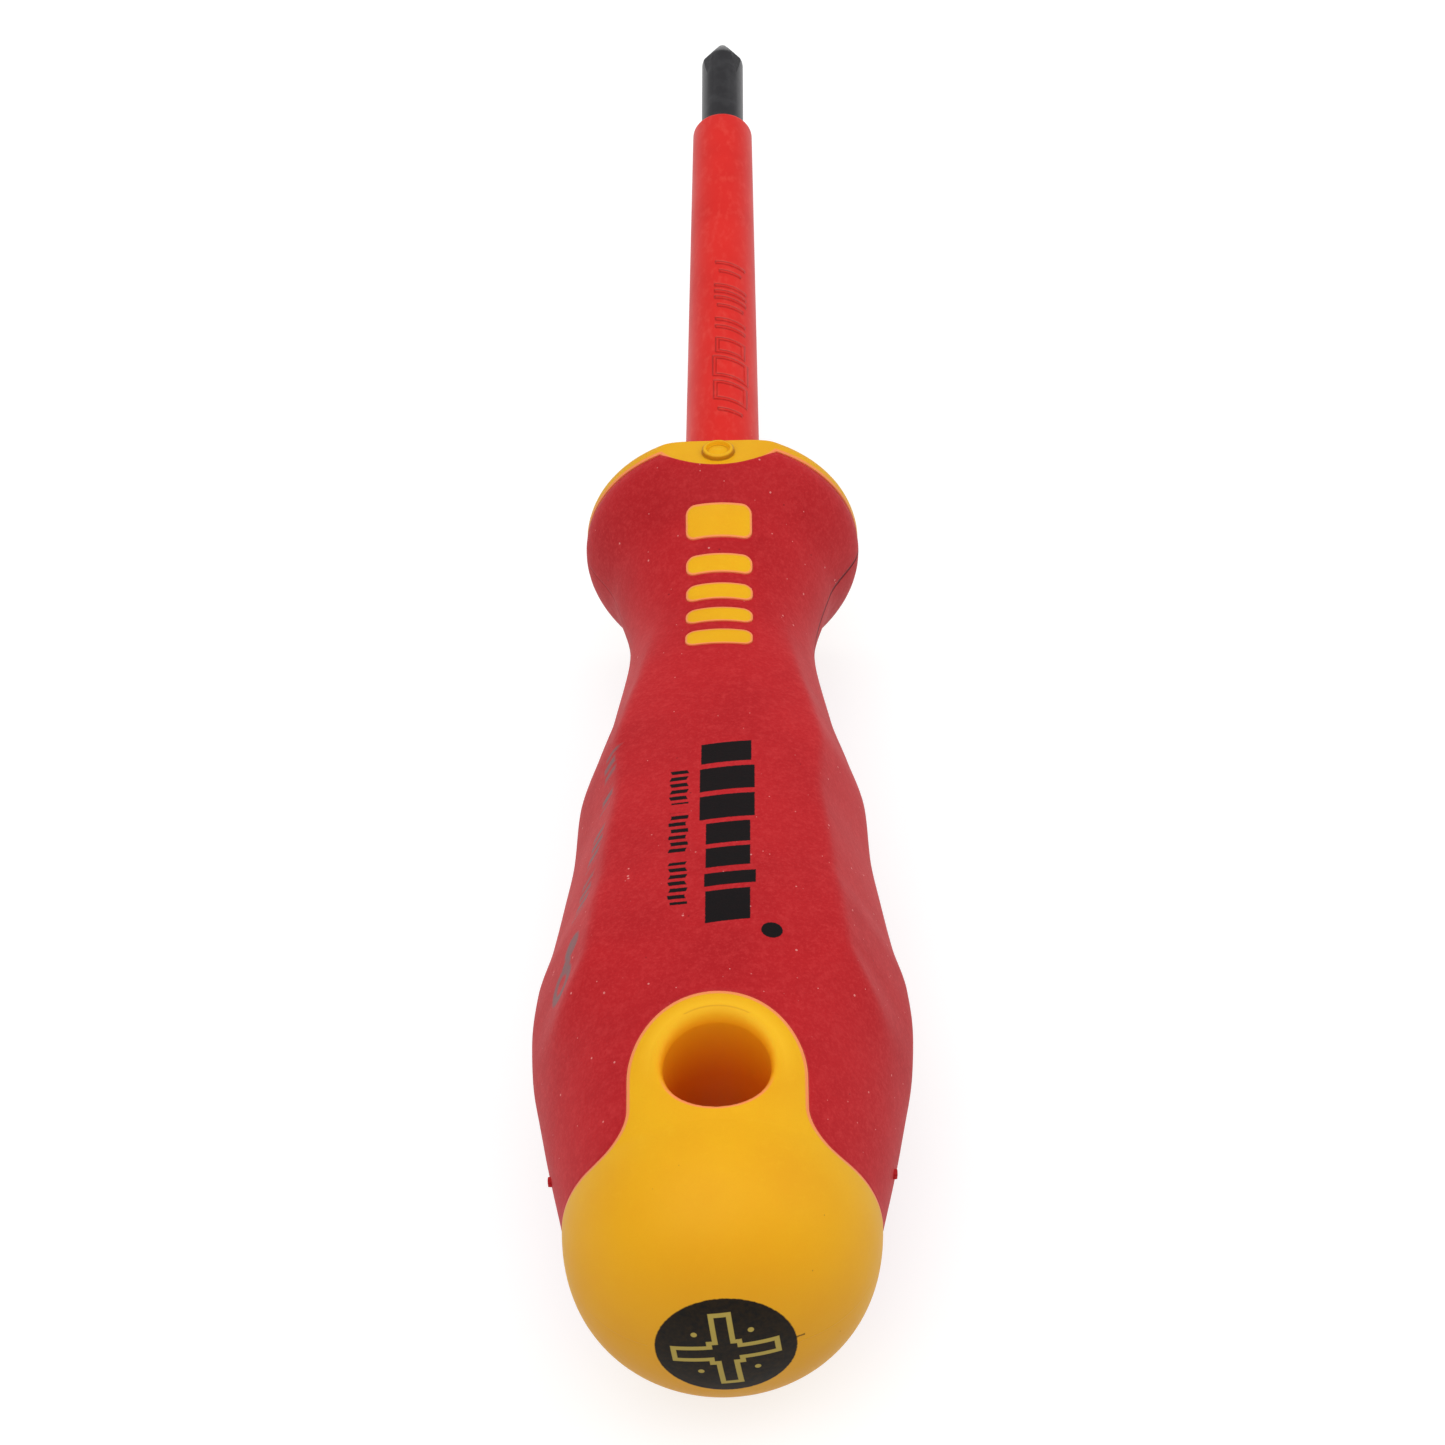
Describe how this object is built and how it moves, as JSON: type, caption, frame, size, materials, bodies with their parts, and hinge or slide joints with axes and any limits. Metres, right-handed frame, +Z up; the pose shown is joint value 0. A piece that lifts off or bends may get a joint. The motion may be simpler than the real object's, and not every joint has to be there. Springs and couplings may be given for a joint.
{
  "type": "insulated screwdriver",
  "caption": "Fixed-blade insulated screwdriver with a cross tip, sleeved shank, moulded soft-grip handle and a hanging hole through the butt.",
  "frame": {"origin": "bottom centre of the bounding box, on the surface that the handle's belly lies on", "axes": "+Y along the tool's axis towards the tip, +Z up along the hanging hole, +X to the right seen from the butt"},
  "size_m": [0.0344, 0.185, 0.0315],
  "materials": {
    "blade": "black oxide",
    "blade_insulation": "satin",
    "inner_core": "matt",
    "handle_core": "satin",
    "soft_grip": "fine matt grain"
  },
  "bodies": {
    "root": {"blade": "blade", "blade_insulation": "blade_insulation", "inner_core": "inner_core", "handle_core": "handle_core", "soft_grip": "soft_grip"}
  },
  "joints": []
}
